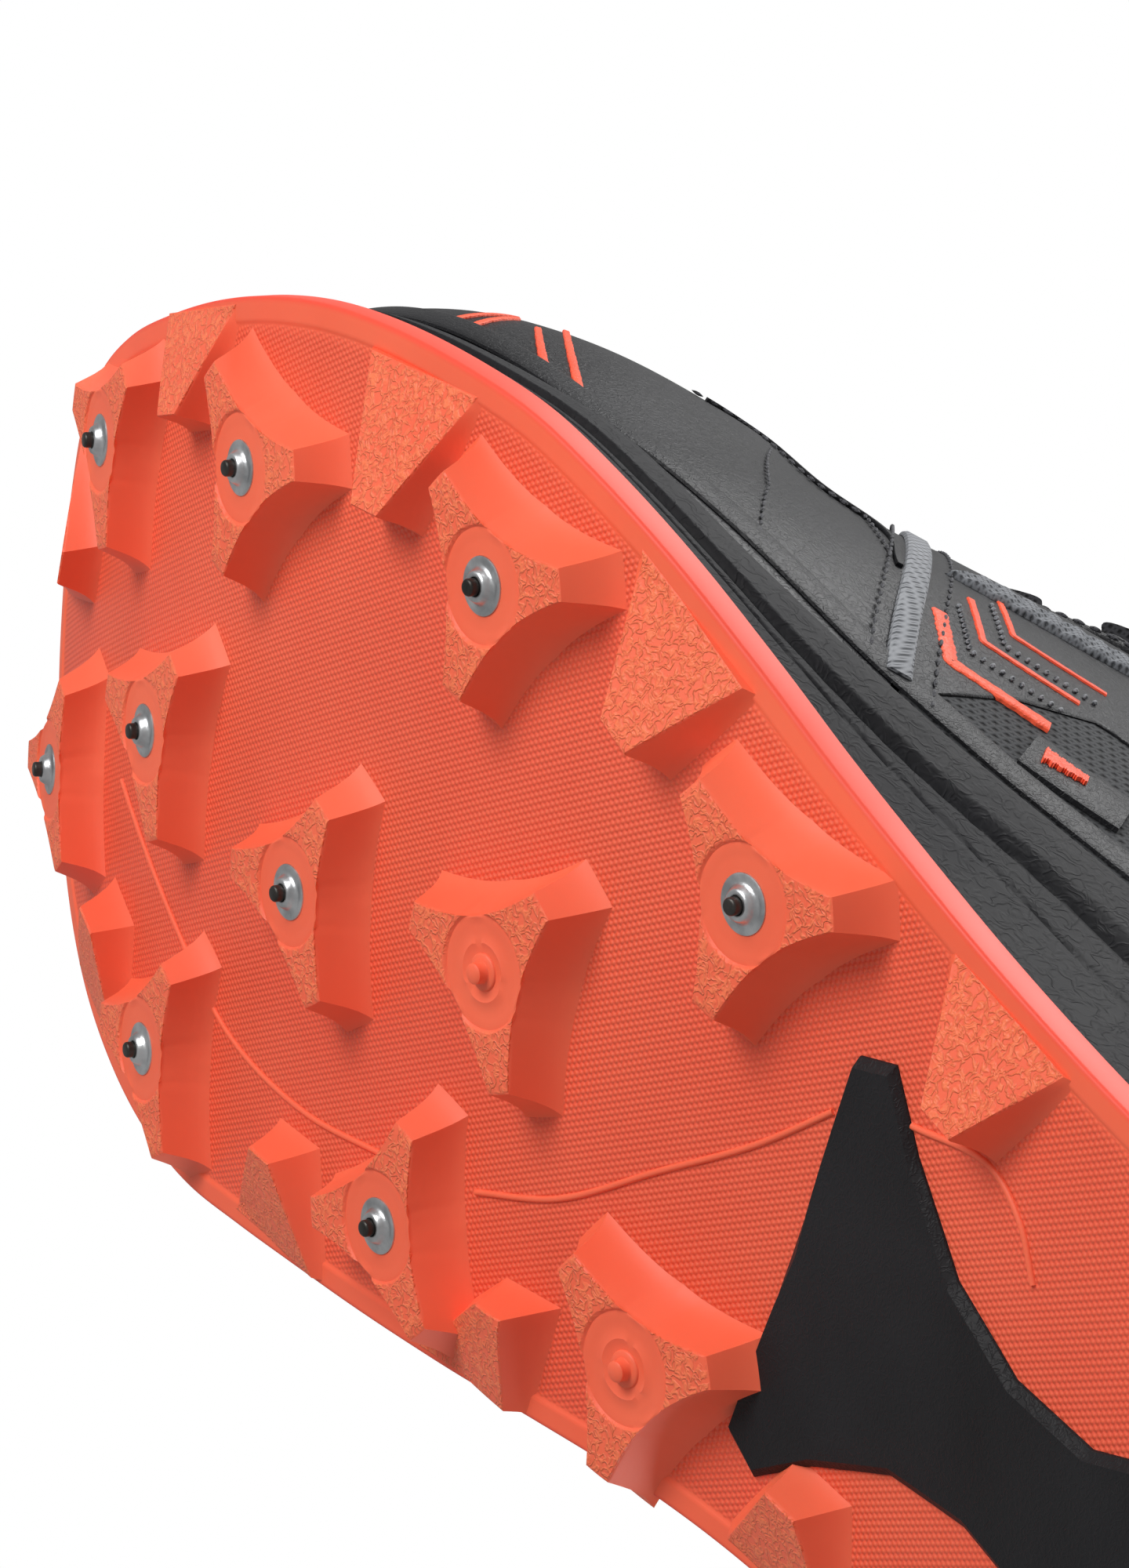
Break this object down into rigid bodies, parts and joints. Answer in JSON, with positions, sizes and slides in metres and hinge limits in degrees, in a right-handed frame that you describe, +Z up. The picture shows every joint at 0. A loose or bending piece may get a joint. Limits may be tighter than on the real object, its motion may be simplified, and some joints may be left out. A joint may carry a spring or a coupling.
{
  "type": "studded winter running shoe",
  "caption": "Low winter running shoe for the left foot with a lugged rubber outsole that carries steel studs with hard-metal pins for grip on ice.",
  "frame": {"origin": "middle of the shoe's box in plan, on the ground under the stud tips", "axes": "+Y from toe to heel, +X to the outer (lateral) side of the left foot, +Z up"},
  "size_m": [0.1134, 0.3006, 0.1256],
  "materials": {
    "outsole_rubber": "satin moulded rubber with stippled tread faces",
    "stud_steel": "bright turned steel, slightly scratched",
    "stud_carbide": "dark sintered hard metal, ground tip",
    "shank_plastic": "smooth moulded plastic",
    "midsole_foam": "moulded foam with a fine skin",
    "board_fibre": "stitched fibre board",
    "insole_fabric": "brushed cover fabric over foam",
    "toe_coating": "soft coated textile with fine wrinkles",
    "quarter_mesh": "woven mesh with welded films",
    "heel_mesh": "woven mesh",
    "counter_plastic": "moulded film, satin",
    "collar_lining": "brushed lining over soft foam",
    "tongue_fabric": "padded mesh",
    "eyestay_coating": "smooth coated reinforcement",
    "webbing_tape": "ribbed woven tape",
    "lace_cord": "flat woven lace"
  },
  "bodies": {
    "root": {"outsole": "outsole_rubber", "stud_body_01": "stud_steel", "stud_body_02": "stud_steel", "stud_body_03": "stud_steel", "stud_body_04": "stud_steel", "stud_body_05": "stud_steel", "stud_body_06": "stud_steel", "stud_body_07": "stud_steel", "stud_body_08": "stud_steel", "stud_body_09": "stud_steel", "stud_body_10": "stud_steel", "stud_body_11": "stud_steel", "stud_body_12": "stud_steel", "stud_body_13": "stud_steel", "stud_body_14": "stud_steel", "stud_pin_01": "stud_carbide", "stud_pin_02": "stud_carbide", "stud_pin_03": "stud_carbide", "stud_pin_04": "stud_carbide", "stud_pin_05": "stud_carbide", "stud_pin_06": "stud_carbide", "stud_pin_07": "stud_carbide", "stud_pin_08": "stud_carbide", "stud_pin_09": "stud_carbide", "stud_pin_10": "stud_carbide", "stud_pin_11": "stud_carbide", "stud_pin_12": "stud_carbide", "stud_pin_13": "stud_carbide", "stud_pin_14": "stud_carbide", "midfoot_shank": "shank_plastic", "midsole": "midsole_foam", "lasting_board": "board_fibre", "insole": "insole_fabric", "vamp": "toe_coating", "lateral_quarter": "quarter_mesh", "medial_quarter": "quarter_mesh", "heel_panel": "heel_mesh", "heel_counter": "counter_plastic", "collar_padding": "collar_lining", "tongue": "tongue_fabric", "lateral_eyestay": "eyestay_coating", "lateral_webbing": "webbing_tape", "medial_eyestay": "eyestay_coating", "medial_webbing": "webbing_tape", "lace_row_1": "lace_cord", "lace_row_2": "lace_cord", "lace_row_3": "lace_cord", "lace_row_4": "lace_cord", "lace_row_5": "lace_cord", "lace_row_6": "lace_cord", "lace_knot": "lace_cord", "lace_pocket": "eyestay_coating", "heel_pull_tab": "webbing_tape"}
  },
  "joints": []
}
